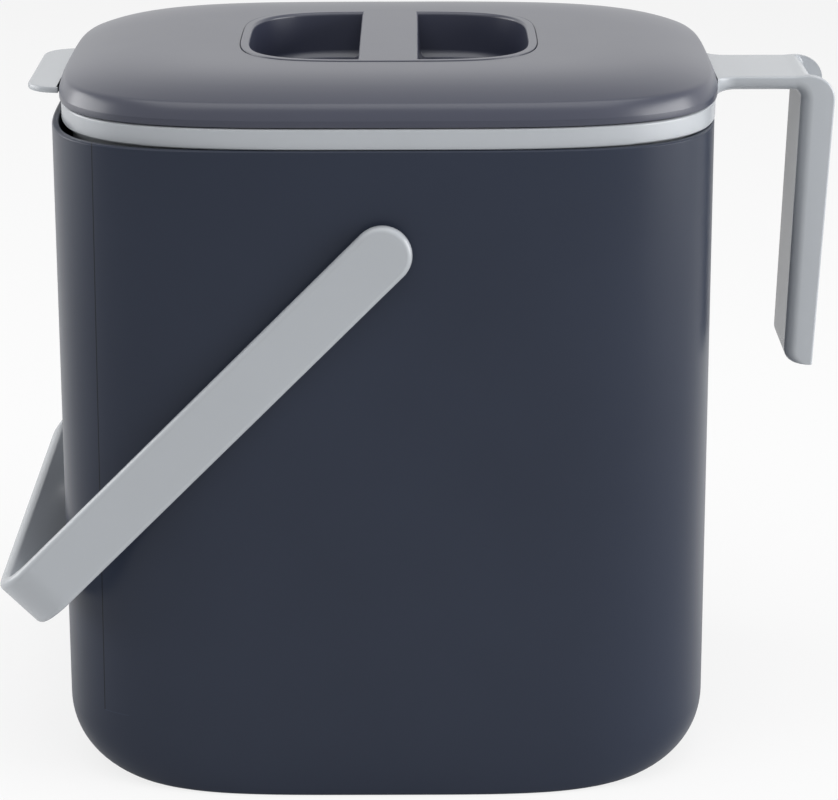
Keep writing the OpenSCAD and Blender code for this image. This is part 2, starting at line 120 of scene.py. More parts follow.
def moulded_plastic(name, colour, roughness, grain=0.06, tint=0.05, specular=0.5):
    """Satin moulded plastic: a faint spark-eroded grain, slight flow tint and uneven gloss."""
    material, tree, shader = new_material(name)
    shader.inputs["Specular IOR Level"].default_value = specular
    coords = tree.nodes.new("ShaderNodeTexCoord").outputs["Object"]

    ramp = tree.nodes.new("ShaderNodeValToRGB")
    for element, place, change in zip(ramp.color_ramp.elements, CLOUD_ENDS, (1 - tint, 1 + tint)):
        element.position = place
        element.color = [min(1, c * change) for c in linear(colour)[:3]] + [1]
    tree.links.new(noise(tree, CLOUD_SCALE, 3, coords), ramp.inputs["Fac"])
    tree.links.new(ramp.outputs["Color"], shader.inputs["Base Color"])

    smear = noise(tree, SMEAR_SCALE, 4, coords)
    uneven_gloss(tree, shader, smear, roughness - GLOSS_SPREAD, roughness + GLOSS_SPREAD)

    bump = tree.nodes.new("ShaderNodeBump")
    bump.inputs["Strength"].default_value = grain
    bump.inputs["Distance"].default_value = GRAIN_DEPTH
    tree.links.new(noise(tree, GRAIN_SCALE, 2, coords), bump.inputs["Height"])
    tree.links.new(bump.outputs["Normal"], shader.inputs["Normal"])
    return material


def line_mask(tree, value, centre, half_width):
    """1 where a value lies within half a width of its centre, in metres."""
    return maths(tree, "COMPARE", value, centre, half_width)


def tint_where(material, mask, factor):
    """Scale the base colour by a factor where the mask is 1."""
    tree = material.node_tree
    shader = tree.nodes["Principled BSDF"]
    source = shader.inputs["Base Color"].links[0].from_socket
    share = maths(tree, "ADD", maths(tree, "MULTIPLY", mask, factor - 1), 1.0)
    scale = tree.nodes.new("ShaderNodeVectorMath")
    scale.operation = "SCALE"
    tree.links.new(source, scale.inputs[0])
    tree.links.new(share, scale.inputs["Scale"])
    tree.links.new(scale.outputs[0], shader.inputs["Base Color"])


def object_axes(material):
    tree = material.node_tree
    split = tree.nodes.new("ShaderNodeSeparateXYZ")
    tree.links.new(tree.nodes["Texture Coordinate"].outputs["Object"], split.inputs[0])
    return [split.outputs[i] for i in range(3)]


def mould_line_painted_light(material):
    """Painted shade along the mould's parting line down the front left corner, and a painted highlight on
    its short step at the foot.
    """
    tree = material.node_tree
    x, y, z = object_axes(material)
    front = maths(tree, "LESS_THAN", y, 0.0)
    upright_x = maths(tree, "SUBTRACT", x, maths(tree, "MULTIPLY", z, LINE_LEAN))
    line = line_mask(tree, upright_x, LINE_X, LINE_HALF)
    down = maths(tree, "MULTIPLY", line, maths(tree, "GREATER_THAN", z, LINE_FOOT))
    level = line_mask(tree, z, STEP_Z, LINE_HALF)
    step = maths(tree, "MULTIPLY", level, line_mask(tree, x, STEP_X, STEP_HALF))
    # Darkening the line is painted shade; lightening the step is a painted highlight.
    tint_where(material, maths(tree, "MULTIPLY", down, front), LINE_PAINTED_SHADE)
    tint_where(material, maths(tree, "MULTIPLY", step, front), STEP_PAINTED_HIGHLIGHT)


def brushed_pin(name):
    material, tree, shader = new_material(name)
    shader.inputs["Metallic"].default_value = 1.0
    shader.inputs["Base Color"].default_value = PIN_COLOUR
    coords = tree.nodes.new("ShaderNodeTexCoord").outputs["Object"]
    uneven_gloss(tree, shader, noise(tree, STREAK_SCALE, 3, coords), *PIN_GLOSS)
    return material


dark_shell = moulded_plastic("dark_shell", (41, 47, 61), 0.3, specular=0.18)
dark_lid = moulded_plastic("dark_lid", (51, 54, 69), 0.3, specular=0.55)
light_shell = moulded_plastic("light_shell", (168, 172, 177), 0.24, tint=0.02)
# Painted shade and painted highlight of the parting line on the bucket's colour
mould_line_painted_light(dark_shell)
seal_rubber = moulded_plastic("seal_rubber", (40, 41, 43), 0.7, grain=0.15)
pin_steel = brushed_pin("pin_steel")

cad_finishes = {"lid_inner_plate": light_shell, "lid_seal": seal_rubber, "hinge_pin": pin_steel}
for node_name, finish in cad_finishes.items():
    mesh = nodes[node_name].data
    mesh.materials.clear()
    mesh.materials.append(finish)

# ---------------------------------------------------------------- sizes in mm, as in the CAD source
HALF_W, HALF_D, BUCKET_H = 111.0, 93.15, 222.0
PLAN_POWER, SEAT_POWER = 4.4, 3.85
BUCKET_WALL, BUCKET_FLOOR = 2.2, 2.4
SIDE_BEND, FRONT_BEND, RIM_EDGE = 20.0, 1.3, 0.6
WALL_HEIGHTS = (60, 110, 160, 200)
SHIFT = 1.7

BAND_INSET, BAND_H, BAND_EDGE, MOUTH_EDGE = 0.9, 7.0, 0.9, 0.5
BAND_A, BAND_B = HALF_W - BAND_INSET, HALF_D - BAND_INSET
BAND_TOP = BUCKET_H + BAND_H
# The band's lower edge: insets from the bucket's side, and heights above its rim
BAND_FOOT = ((1.7, 0), (1.15, 0.25), (BAND_INSET, 0.7))
LINER_IN, LINER_WALL, LINER_Z0 = 4.2, 2.0, 4.8
LINER_DRAFT = tan(radians(1.2))
MOUTH_IN = LINER_IN + LINER_WALL

LID_GAP, LID_EDGE, LID_FOOT_EDGE, LID_WALL = 0.3, 2.2, 0.4, 2.0
LID_Z0 = BAND_TOP + LID_GAP
LID_Z1 = LID_Z0 + LID_EDGE
LID_OVER, LID_OVER_FRONT = 0.6, 0.1
LID_A, LID_B = BAND_A + LID_OVER, BAND_B + LID_OVER_FRONT
ROLL_H, ROLL_W, CROWN_H, CROWN_W, CROWN_POWER, CROWN_FLAT = 4.1, 2.4, 6.7, 46.0, 3.5, 40.0

GRIP_A, GRIP_B, GRIP_POWER = 50.6, 47.8, 3.7
GRIP_LEDGE, GRIP_SEAT, GRIP_WALL, GRIP_PROUD, GRIP_SEAM = 3.3, 1.2, 1.5, 0.25, 0.15
BRIDGE_W, WELL_DEPTH, WELL_MOUTH, WELL_MOUTH_H, WELL_CORNER = 19.8, 16.3, 1.0, 1.2, 3
# Insets from the well's side and heights above its floor, round the floor's edge
WELL_FOOT = ((3.2, 0), (2.2, 0.25), (1.4, 0.9), (0.9, 1.9), (0.6, 3))
# The hollow under the bridge: how far it ends from the insert's front and back, its extra wall at the
# sides, and its drop below the insert's seat
HOLLOW_END, HOLLOW_SIDE, HOLLOW_TOP = 9, 0.8, 2

PIN_R, BARREL_R, PIN_PLAY, PIN_FIT = 1.25, 2.8, 0.06, 0.02
HINGE_L, EAR_T, EAR_INSET, EAR_FOOT, HINGE_GAP = 124.0, 5.7, 0.2, 0.4, 0.4
PLUG_GAP, PLUG_CLEAR, HINGE_DROP = 1.4, 0.6, 1
PLUG_B = HALF_D - MOUTH_IN - PLUG_GAP
HINGE_Y = PLUG_B + PLUG_CLEAR + BARREL_R
HINGE_Z = LID_Z0 - HINGE_DROP
NOTCH_Y = HINGE_Y - BARREL_R - HINGE_GAP
NOTCH_Z = HINGE_Z - BARREL_R - HINGE_GAP
BARREL_L = HINGE_L - 2 * EAR_T - 2 * HINGE_GAP
# The upright wall in front of the barrel: how far it runs past the lid's notch at each side, and the
# share of the lid's wall that it ends below the surface. Then the drop of the barrel's root below its top
UPRIGHT_SIDE, UPRIGHT_SHARE, BARREL_ROOT_DROP = 0.5, 0.7, 0.2

TAB_W, TAB_REACH, TAB_T, TAB_CORNER, TAB_WEB = 71.0, 11.4, 2.0, 11.0, 34.0
# Insets and heights round the tab's lower edge, and insets and depths round its upper edge
TAB_FOOT = ((0.35, 0), (0.1, 0.12), (0, 0.4))
TAB_HEAD = ((0, 0.6), (0.18, 0.18), (0.6, 0))
# The web under the tab: distances out from the band's side, and depths below its top
WEB_SIDE = ((-1.2, 3.4), (0.8, 3), (1.9, 2.3), (2.7, 1.4), (3.15, 0.4))
WEB_OUT, WEB_IN, WEB_LIFT, WEB_ROOT, WEB_OVERLAP = 3.4, 1.2, 0.4, 0.9, 0.02
# How far the tab and the jug handle's arm stand clear of the lid
HANDLE_GAP = 0.3

JUG_W, ARM_T, LEG_T, FOOT_T = 40.5, 5.0, 11.3, 9.7
JUG_GAP, JUG_DROP = 30.8, 101.5
JUG_LEAN, GRIP_EDGE, BACK_EDGE, JUG_WALL, BEND_R, FOOT_R = 3.3, 4.2, 0.7, 2.5, 3.0, 5.0
FLARE, FLARE_START, FLARE_DROP, ARM_ROOT = 8.0, 1, 0.28, 3.5
LEG_HEIGHTS = (200, 180, 160, 145)
FOOT_STEP = 8.82
CHANNEL_RISE, CHANNEL_CORNER = 0.3, 0.8
ARM_Z1 = LID_Z1
ARM_Z0 = ARM_Z1 - ARM_T
ARM_X0 = SHIFT + LID_A + HANDLE_GAP
BEND_X = HALF_W + JUG_GAP - BEND_R
BEND_Z = ARM_Z0 - BEND_R
FOOT_Z = ARM_Z1 - JUG_DROP
LEG_X_FOOT = HALF_W + JUG_GAP - JUG_LEAN

STRAP_W, STRAP_T, STRAP_EDGE, STRAP_GAP = 19.4, 4.8, 1.9, 1.0
BAIL_BEND, BAIL_PASS, REST_GAP = 14.8, 8.8, 0.9
PIVOT_Z = BUCKET_H - 33.2
PEG_R, PEG_PLAY, PEG_SHORT, PEG_ROOT = 4.0, 0.06, 1.1, 0.1
BAIL_IN = BAIL_PASS + max(hypot(LEG_X_FOOT + FOOT_T, PIVOT_Z - FOOT_Z),
                          hypot(BEND_X + BEND_R + LEG_T, BEND_Z - PIVOT_Z))
STRAP_IN = HALF_D + STRAP_GAP
BAIL_REST = acos((HALF_W + REST_GAP) / hypot(BAIL_IN, STRAP_W / 2)) - atan2(STRAP_W / 2, BAIL_IN)

# Points round an outline, and how far a cutter reaches past what it cuts
OUTLINE, PAST = 240, 20
SMOOTH_ANGLE = radians(32)
WELD = 1e-6
QUARTER = (0, pi / 6, pi / 3, pi / 2)
FINE_QUARTER = [pi / 20 * i for i in range(11)]


# ---------------------------------------------------------------- shape tools
def ring(a, b, z, power=PLAN_POWER, x0=0.0):
    """One ring of points on a rounded-square outline, anticlockwise from above."""
    points = []
    for i in range(OUTLINE):
        t = 2 * pi * i / OUTLINE
        c, s = cos(t), sin(t)
        x = x0 + a * copysign(abs(c) ** (2 / power), c)
        y = b * copysign(abs(s) ** (2 / power), s)
        points.append((x, y, z))
    return points


def bend_in(h, r):
    """How far a bend of radius r pulls a wall in at height h above its floor."""
    return 0.0 if h >= r else r - sqrt(max(0.0, r * r - (r - h) ** 2))


def bend_steps(r, count):
    """Heights up a bend of radius r, closer together near its floor."""
    return [r * (1 - cos(pi / 2 * i / count)) for i in range(count + 1)]


def edge_round(top, r, steps=4):
    """Insets and heights round a rim's edge of radius r, from its side to its top."""
    turns = [pi / 2 * i / steps for i in range(steps + 1)]
    return [(r * (1 - cos(q)), top - r + r * sin(q)) for q in turns]


def new_piece(name, points, faces):
    """A mesh object from points in mm."""
    mesh = bpy.data.meshes.new(name)
    mesh.from_pydata([Vector(p) * MM for p in points], [], faces)
    piece = bpy.data.objects.new(name, mesh)
    bpy.context.scene.collection.objects.link(piece)
    return piece


def loft(name, rings, looped=False):
    """A solid through a stack of rings, each anticlockwise seen from the way the stack runs."""
    m, k = len(rings), len(rings[0])
    points = [p for r in rings for p in r]
    faces = []
    for j in range(m if looped else m - 1):
        up = (j + 1) % m
        for i in range(k):
            side = (i + 1) % k
            faces.append((j * k + i, j * k + side, up * k + side, up * k + i))
    if not looped:
        faces.append(tuple(range(k - 1, -1, -1)))
        faces.append(tuple((m - 1) * k + i for i in range(k)))
    return new_piece(name, points, faces)


def box(low, high):
    xs, ys, zs = zip(low, high)
    plan = ((xs[0], ys[0]), (xs[1], ys[0]), (xs[1], ys[1]), (xs[0], ys[1]))
    corners = [(x, y, z) for z in zs for x, y in plan]
    faces = [(3, 2, 1, 0), (4, 5, 6, 7), (0, 1, 5, 4), (1, 2, 6, 5), (2, 3, 7, 6), (3, 0, 4, 7)]
    return new_piece("tool", corners, faces)


def rod(axis, centre, r, length, count=64):
    """A cylinder along X or Y."""
    rings = []
    for end in (-0.5, 0.5):
        points = []
        for i in range(count):
            u, v = r * cos(2 * pi * i / count), r * sin(2 * pi * i / count)
            local = (end * length, u, v) if axis == "X" else (v, end * length, u)
            points.append(tuple(c + d for c, d in zip(centre, local)))
        rings.append(points)
    return loft("tool", rings)


def combine(body, tool, operation):
    """Cut or add a tool, which is used up."""
    step = body.modifiers.new("step", "BOOLEAN")
    step.operation = operation
    step.solver = "EXACT"
    step.object = tool
    graph = bpy.context.evaluated_depsgraph_get()
    mesh = bpy.data.meshes.new_from_object(body.evaluated_get(graph))
    body.modifiers.clear()
    old = body.data
    body.data = mesh
    mesh.name = body.name
    bpy.data.meshes.remove(old)
    tool_mesh = tool.data
    bpy.data.objects.remove(tool)
    bpy.data.meshes.remove(tool_mesh)


def finish_piece(piece, body, material, replaced):
    """Smooth shading, material, body and the CAD node that the piece stands for."""
    mesh = piece.data
    mesh.materials.clear()
    mesh.materials.append(material)
    mesh.shade_smooth()
    mesh.set_sharp_from_angle(angle=SMOOTH_ANGLE)
    normals = piece.modifiers.new("normals", "WEIGHTED_NORMAL")
    normals.keep_sharp = True
    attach(piece, body)
    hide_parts(replaced)


# ---------------------------------------------------------------- outer bucket
def outer_bucket():
    bend_rise = [h for h in bend_steps(SIDE_BEND, 20) if h > FRONT_BEND + 0.1]
    heights = bend_steps(FRONT_BEND, 5) + bend_rise
    rings = [ring(HALF_W - bend_in(h, SIDE_BEND), HALF_D - bend_in(h, FRONT_BEND), h) for h in heights]
    rings += [ring(HALF_W, HALF_D, z) for z in WALL_HEIGHTS]
    rings += [ring(HALF_W - s, HALF_D - s, z) for s, z in edge_round(BUCKET_H, RIM_EDGE)]
    inner_w, inner_d, inner_bend = HALF_W - BUCKET_WALL, HALF_D - BUCKET_WALL, SIDE_BEND - BUCKET_WALL
    rings += [ring(inner_w + s, inner_d + s, z) for s, z in reversed(edge_round(BUCKET_H, RIM_EDGE))]
    rings += [ring(inner_w - bend_in(h, inner_bend), inner_d, BUCKET_FLOOR + h)
              for h in reversed(bend_steps(inner_bend, 16))]
    piece = loft("outer_shell", rings)
    for side in (-1, 1):
        centre = (0, side * (HALF_D - BUCKET_WALL / 2), PIVOT_Z)
        combine(piece, rod("Y", centre, PEG_R + PEG_PLAY, BUCKET_WALL * 3), "DIFFERENCE")
    return piece


# ---------------------------------------------------------------- liner
def liner_inset(z):
    return LINER_IN + (BUCKET_H - z) * LINER_DRAFT


def liner_ring(inset, z, inset_b=None):
    half_d = HALF_D - (inset if inset_b is None else inset_b)
    return ring(HALF_W - inset, half_d, z, SEAT_POWER, SHIFT)


def liner_tub():
    inner_bend = SIDE_BEND - LINER_WALL
    rings = []
    for h in bend_steps(SIDE_BEND, 10):
        z = LINER_Z0 + h
        s = liner_inset(z)
        rings.append(liner_ring(s + bend_in(h, SIDE_BEND), z, s + bend_in(h, FRONT_BEND)))
    rings.append(liner_ring(LINER_IN, BUCKET_H))
    rings += [liner_ring(s, BUCKET_H + h) for s, h in BAND_FOOT]
    rings += [liner_ring(BAND_INSET + s, z) for s, z in edge_round(BAND_TOP, BAND_EDGE, 6)]
    rings += [liner_ring(MOUTH_IN - s, z) for s, z in reversed(edge_round(BAND_TOP, MOUTH_EDGE, 3))]
    rings.append(liner_ring(MOUTH_IN, BUCKET_H))
    for h in reversed(bend_steps(inner_bend, 10)):
        z = LINER_Z0 + LINER_WALL + h
        s = liner_inset(z) + LINER_WALL
        rings.append(liner_ring(s + bend_in(h, inner_bend), z, s))
    return loft("liner_shell", rings)


def lift_tab():
    """The tab's plan, with round outer corners, stacked up its profile, and the web under it."""
    band_x = BAND_A - SHIFT
    outer = -band_x - TAB_REACH
    near = SHIFT - LID_A - HANDLE_GAP

    def plan(inset, z):
        corner = TAB_CORNER - inset
        half = TAB_W / 2 - inset
        points = [(near, half, z)]
        for start, corner_y in ((90, half - corner), (180, -half + corner)):
            for i in range(13):
                q = radians(start + 90 * i / 12)
                x = max(outer, outer + TAB_CORNER + corner * cos(q))
                points.append((x, corner_y + corner * sin(q), z))
        points.append((near, -half, z))
        return points

    z0 = ARM_Z1 - TAB_T
    profile = [(s, z0 + h) for s, h in TAB_FOOT] + [(s, ARM_Z1 - h) for s, h in TAB_HEAD]
    slab = loft("tab_slab", [plan(s, z) for s, z in profile])
    web_end = near - WEB_OVERLAP
    root = [(-band_x - out, BAND_TOP - depth) for out, depth in WEB_SIDE]
    root += [(-band_x - WEB_OUT, z0 + WEB_LIFT), (web_end, z0 + WEB_LIFT),
             (web_end, BAND_TOP - WEB_ROOT), (-band_x + WEB_IN, BAND_TOP - WEB_ROOT)]
    half = TAB_WEB / 2
    combine(slab, loft("tool", [[(x, y, z) for x, z in root] for y in (half, -half)]), "UNION")
    return slab


def bend_depth(q):
    """Depth of the handle's section at bend angle q, from the arm to the leg."""
    return ARM_T + (LEG_T - ARM_T) * sin(q) ** 2


def leg_x(z):
    """X of the leg's grip face at height z, as the leg leans in towards its foot."""
    return LEG_X_FOOT + JUG_LEAN * (z - FOOT_Z) / (BEND_Z - FOOT_Z)


def leg_depth(z):
    return FOOT_T + (LEG_T - FOOT_T) * (z - FOOT_Z) / (BEND_Z - FOOT_Z)


def jug_stations():
    """Down the handle: x and z of the grip face, angle of its outward side, depth, half width."""
    half = JUG_W / 2
    stations = []
    for i in range(18):
        x = ARM_X0 - FLARE_START + FLARE * (1 - cos(pi / 2 * (i - 1) / 16)) if i else ARM_X0 - ARM_ROOT
        flare = bend_in(max(0.0, x - ARM_X0 + FLARE_START), FLARE)
        drop = flare * FLARE_DROP
        stations.append((x, ARM_Z0 - drop, pi / 2, ARM_T + drop, half + flare))
    for i in range(19):
        q = pi / 2 * i / 18
        x, z = BEND_X + BEND_R * sin(q), BEND_Z + BEND_R * cos(q)
        stations.append((x, z, pi / 2 - q, bend_depth(q), half))
    stations += [(leg_x(z), z, 0, leg_depth(z), half) for z in LEG_HEIGHTS]
    for i in range(11):
        q = radians(FOOT_STEP * i)
        z = FOOT_Z + FOOT_R * (1 - sin(q))
        dx = FOOT_R * (1 - cos(q))
        stations.append((leg_x(z) + dx, z, 0, leg_depth(z) - dx, half))
    return stations


def jug_section(station):
    """A cross-section with large round edges on the grip side and small ones on the outer side."""
    x, z, angle, depth, half = station
    r, c = min(GRIP_EDGE, depth - BACK_EDGE - 0.2), BACK_EDGE
    flat = [(half - c + c * sin(q), depth - c + c * cos(q)) for q in QUARTER]
    flat += [(half - r + r * cos(q), r - r * sin(q)) for q in FINE_QUARTER]
    flat += [(-half + r - r * sin(q), r - r * cos(q)) for q in FINE_QUARTER]
    flat += [(-half + c - c * cos(q), depth - c + c * sin(q)) for q in QUARTER]
    return [(x + v * cos(angle), -u, z + v * sin(angle)) for u, v in flat]


def channel_floor(q):
    """Distance of the channel's floor from the grip face, round the bend."""
    return bend_depth(q) + CHANNEL_RISE - (LEG_T + CHANNEL_RISE - JUG_WALL) * sin(q) ** 4


def jug_channel():
    """The tool that hollows the back of the jug handle's leg."""
    half = JUG_W / 2 - JUG_WALL
    corner, past_back = CHANNEL_CORNER, 22
    stations = []
    for i in range(3, 19):
        q = pi / 2 * i / 18
        x, z = BEND_X + BEND_R * sin(q), BEND_Z + BEND_R * cos(q)
        stations.append((x, z, pi / 2 - q, channel_floor(q)))
    for i in range(1, 9):
        q = radians(10 * i)
        z = FOOT_Z + JUG_WALL + FOOT_R * (1 - sin(q))
        stations.append((leg_x(z) + FOOT_R * (1 - cos(q)), z, 0, JUG_WALL))
    rings = []
    for x, z, angle, floor in stations:
        left, right, low = -half + corner, half - corner, floor + corner
        flat = [(half, floor + past_back), (-half, floor + past_back)]
        flat += [(left - corner * cos(q), low - corner * sin(q)) for q in QUARTER]
        flat += [(right + corner * sin(q), low - corner * cos(q)) for q in QUARTER]
        rings.append([(x + v * cos(angle), u, z + v * sin(angle)) for u, v in flat])
    return loft("tool", rings)


def jug_handle():
    piece = loft("jug", [jug_section(s) for s in jug_stations()])
    combine(piece, jug_channel(), "DIFFERENCE")
    above_band = box((ARM_X0 - 30, -JUG_W, BAND_TOP - BAND_EDGE), (ARM_X0, JUG_W, BAND_TOP + 12))
    combine(piece, above_band, "DIFFERENCE")
    return piece


def liner():
    piece = liner_tub()
    half = HINGE_L / 2
    notch = box((SHIFT - half, NOTCH_Y, NOTCH_Z), (SHIFT + half, NOTCH_Y + PAST, NOTCH_Z + PAST))
    combine(piece, notch, "DIFFERENCE")
    for side in (-1, 1):
        x = side * (half - EAR_T / 2) + SHIFT
        ear = box((x - EAR_T / 2, HALF_D - MOUTH_IN + EAR_INSET, BUCKET_H + EAR_FOOT),
                  (x + EAR_T / 2, BAND_B - EAR_INSET, HINGE_Z))
        combine(piece, ear, "UNION")
        combine(piece, rod("X", (x, HINGE_Y, HINGE_Z), BARREL_R, EAR_T), "UNION")
    combine(piece, lift_tab(), "UNION")
    combine(piece, jug_handle(), "UNION")
    combine(piece, rod("X", (SHIFT, HINGE_Y, HINGE_Z), PIN_R + PIN_FIT, HINGE_L + 2), "DIFFERENCE")
    return piece


# ---------------------------------------------------------------- lid
def lid_height(s):
    """Height of the lid's surface at inset s from its outline."""
    return (LID_Z1 + ROLL_H * (1 - (1 - min(s, ROLL_W) / ROLL_W) ** 2)
            + CROWN_H * (1 - (1 - min(s, CROWN_W) / CROWN_W) ** CROWN_POWER))


LID_TOP = lid_height(CROWN_FLAT)
GRIP_Z1 = LID_TOP + GRIP_PROUD
WELL_Z0 = GRIP_Z1 - WELL_DEPTH
SEAT_Z = GRIP_Z1 - GRIP_WALL

# Insets of the lid's rings, up its outside and down its inside
SLOPE = (0.04, 0.12, 0.25, 0.4, 0.6, 0.85, 1.15, 1.5, 1.9, 2.4, 3.1, 4, 5.2, 6.6, 8.2, 10,
         12.5, 15, 18, 21.5, 25.5, 30, 35, CROWN_FLAT)
UNDER = (37, 30, 22, 16, 12, 9, 7, 5, 3.4, 2.4, 1.4, 0.8, 0.3)
# Insets from the opening and depths below the lid's top, round the opening's upper edge
OPENING_EDGE = ((-0.5, 0), (-0.25, 0.05), (-0.05, 0.2), (0, 0.45))


def lid_ring(s, z):
    return ring(LID_A - s, LID_B - s, z, SEAT_POWER, SHIFT)


def grip_ring(s, z):
    return ring(GRIP_A - s, GRIP_B - s, z, GRIP_POWER, SHIFT)


def lid_cover():
    """The lid's shell, with the opening that the grip insert seats in."""
    rings = [lid_ring(LID_FOOT_EDGE * (1 - sin(q)), LID_Z0 + LID_FOOT_EDGE * (1 - cos(q))) for q in QUARTER]
    rings += [lid_ring(0, LID_Z0 + 1.2), lid_ring(0, LID_Z1)]
    rings += [lid_ring(s, lid_height(s)) for s in SLOPE]
    rings += [grip_ring(s, LID_TOP - depth) for s, depth in OPENING_EDGE]
    seat_under = SEAT_Z - LID_WALL
    rings += [grip_ring(0, SEAT_Z), grip_ring(GRIP_SEAT, SEAT_Z), grip_ring(GRIP_SEAT, seat_under),
              grip_ring(-2, seat_under), grip_ring(-3, LID_TOP - LID_WALL)]
    rings += [lid_ring(s + LID_WALL, lid_height(s) - LID_WALL) for s in UNDER]
    rings.append(lid_ring(LID_WALL, LID_Z0))
    return loft("lid_cover", rings, looped=True)


def lid_shell():
    piece = lid_cover()
    half = HINGE_L / 2 + HINGE_GAP
    left, right = SHIFT - half, SHIFT + half
    wall_top = lid_height(LID_B - NOTCH_Y) - UPRIGHT_SHARE * LID_WALL
    hinge_at = (SHIFT, HINGE_Y, HINGE_Z)
    notch = box((left, NOTCH_Y, LID_Z0 - 5), (right, NOTCH_Y + PAST, LID_Z0 + PAST + 5))
    combine(piece, notch, "DIFFERENCE")
    upright = box((left - UPRIGHT_SIDE, NOTCH_Y - LID_WALL, LID_Z0),
                  (right + UPRIGHT_SIDE, NOTCH_Y, wall_top))
    combine(piece, upright, "UNION")
    barrel_root = box((SHIFT - BARREL_L / 2, NOTCH_Y - 1, LID_Z0),
                      (SHIFT + BARREL_L / 2, HINGE_Y, HINGE_Z + BARREL_R - BARREL_ROOT_DROP))
    combine(piece, barrel_root, "UNION")
    combine(piece, rod("X", hinge_at, BARREL_R, BARREL_L), "UNION")
    combine(piece, rod("X", hinge_at, PIN_R + PIN_PLAY, BARREL_L + 2), "DIFFERENCE")
    return piece


def soft_min(a, b, r):
    """The smaller of two values, with the corner between them rounded."""
    return (a + b - sqrt((a - b) ** 2 + r * r)) / 2


def finger_well(side):
    """A well on the left (-1) or right (1) of the bridge, with round edges at its top and floor."""
    def well_x(x, edge):
        return SHIFT - side * soft_min(-side * (x - SHIFT), -edge, WELL_CORNER)

    def well_ring(s, z):
        edge = BRIDGE_W / 2 + s - GRIP_LEDGE
        return [(well_x(x, edge), y, z) for x, y, z in grip_ring(s, z)]

    profile = [(GRIP_LEDGE + s, WELL_Z0 + h) for s, h in WELL_FOOT]
    for i in range(6):
        q = pi / 2 * i / 6
        height = GRIP_Z1 - WELL_MOUTH_H + WELL_MOUTH_H * sin(q)
        profile.append((GRIP_LEDGE - WELL_MOUTH * (1 - cos(q)), height))
    profile += [(GRIP_LEDGE - WELL_MOUTH, GRIP_Z1), (GRIP_LEDGE - WELL_MOUTH, GRIP_Z1 + 1)]
    return loft("tool", [well_ring(s, z) for s, z in profile])


def grip_insert():
    tub = GRIP_SEAT + 0.2
    bottom = WELL_Z0 - GRIP_WALL
    profile = [(tub + 2.4, bottom), (tub + 0.6, bottom + 1.6), (tub, SEAT_Z), (GRIP_SEAM, SEAT_Z),
               (GRIP_SEAM, GRIP_Z1 - 0.4), (GRIP_SEAM + 0.12, GRIP_Z1 - 0.12), (GRIP_SEAM + 0.4, GRIP_Z1)]
    piece = loft("grip", [grip_ring(s, z) for s, z in profile])
    for side in (-1, 1):
        combine(piece, finger_well(side), "DIFFERENCE")
    half = BRIDGE_W / 2 - GRIP_WALL - HOLLOW_SIDE
    hollow = box((SHIFT - half, HOLLOW_END - GRIP_B, bottom - 1),
                 (SHIFT + half, GRIP_B - HOLLOW_END, bottom + WELL_DEPTH - HOLLOW_TOP))
    combine(piece, hollow, "DIFFERENCE")
    return piece


# ---------------------------------------------------------------- bail
def strap_half_section():
    """The strap's outer half outline, from the middle of one face round to the other."""
    e, half_w, half_t, steps = STRAP_EDGE, STRAP_W / 2, STRAP_T / 2, 8

    def corner(side, first, last):
        turns = [first + (last - first) * i / steps for i in range(steps + 1)]
        return [(half_w - e + e * cos(q), side * (half_t - e) + e * sin(q)) for q in turns]

    return [(0, half_t)] + corner(1, pi / 2, 0) + corner(-1, 0, -pi / 2) + [(0, -half_t)]


def bail_line(y1):
    """Along the strap's middle: distance from the pivots, y and the angle of its outer face."""
    u1 = BAIL_IN + STRAP_T / 2 - BAIL_BEND
    turn = [radians(q) for q in range(0, 91, 5)]
    line = [(0, -y1, -pi / 2)]
    for side, turns in ((-1, turn), (1, turn[::-1])):
        for q in turns:
            u, y = u1 + BAIL_BEND * sin(q), side * (y1 - BAIL_BEND * (1 - cos(q)))
            line.append((u, y, side * (pi / 2 - q)))
    line.append((0, y1, pi / 2))
    return line


def bail():
    """The strap swept along its line, with its ends turned round, and the pegs."""
    profile = strap_half_section()
    section = profile + [(-u, v) for u, v in reversed(profile[1:-1])]
    y1 = STRAP_IN + STRAP_T / 2
    line = bail_line(y1)
    points, faces = [], []
    k = len(section)
    for u, y, angle in line:
        points += [(-u - v * cos(angle), y + v * sin(angle), -w) for w, v in section]
    for j in range(len(line) - 1):
        for i in range(k):
            side = (i + 1) % k
            faces.append((j * k + i, j * k + side, (j + 1) * k + side, (j + 1) * k + i))
    m, spin = len(profile), 24
    for side in (-1, 1):
        start = len(points)
        for i in range(spin + 1):
            q = pi * i / spin
            points += [(w * sin(q), side * (y1 + v), -w * cos(q)) for w, v in profile]
        for i in range(spin):
            for j in range(m - 1):
                a, b = start + i * m + j, start + (i + 1) * m + j
                faces.append((a, a + 1, b + 1, b) if side > 0 else (b, b + 1, a + 1, a))
    piece = new_piece("bail_strap", points, faces)
    mesh = bmesh.new()
    mesh.from_mesh(piece.data)
    bmesh.ops.remove_doubles(mesh, verts=mesh.verts, dist=WELD)
    bmesh.ops.recalc_face_normals(mesh, faces=mesh.faces)
    mesh.to_mesh(piece.data)
    mesh.free()
    reach = BUCKET_WALL + STRAP_GAP - PEG_SHORT
    for side in (-1, 1):
        centre = (0, side * (STRAP_IN + PEG_ROOT - reach / 2), 0)
        combine(piece, rod("Y", centre, PEG_R, reach + 2 * PEG_ROOT), "UNION")
    to_pivot = Matrix.Translation((0, 0, PIVOT_Z * MM))
    piece.data.transform(to_pivot @ Matrix.Rotation(-BAIL_REST, 4, "Y"))
    return piece


finish_piece(outer_bucket(), "bucket", dark_shell, "outer_bucket")
finish_piece(liner(), "liner", light_shell, "liner_bucket")
finish_piece(lid_shell(), "lid", dark_lid, "lid_shell")
finish_piece(grip_insert(), "lid", dark_lid, "grip_insert")
finish_piece(bail(), "bail", light_shell, "bail_handle")

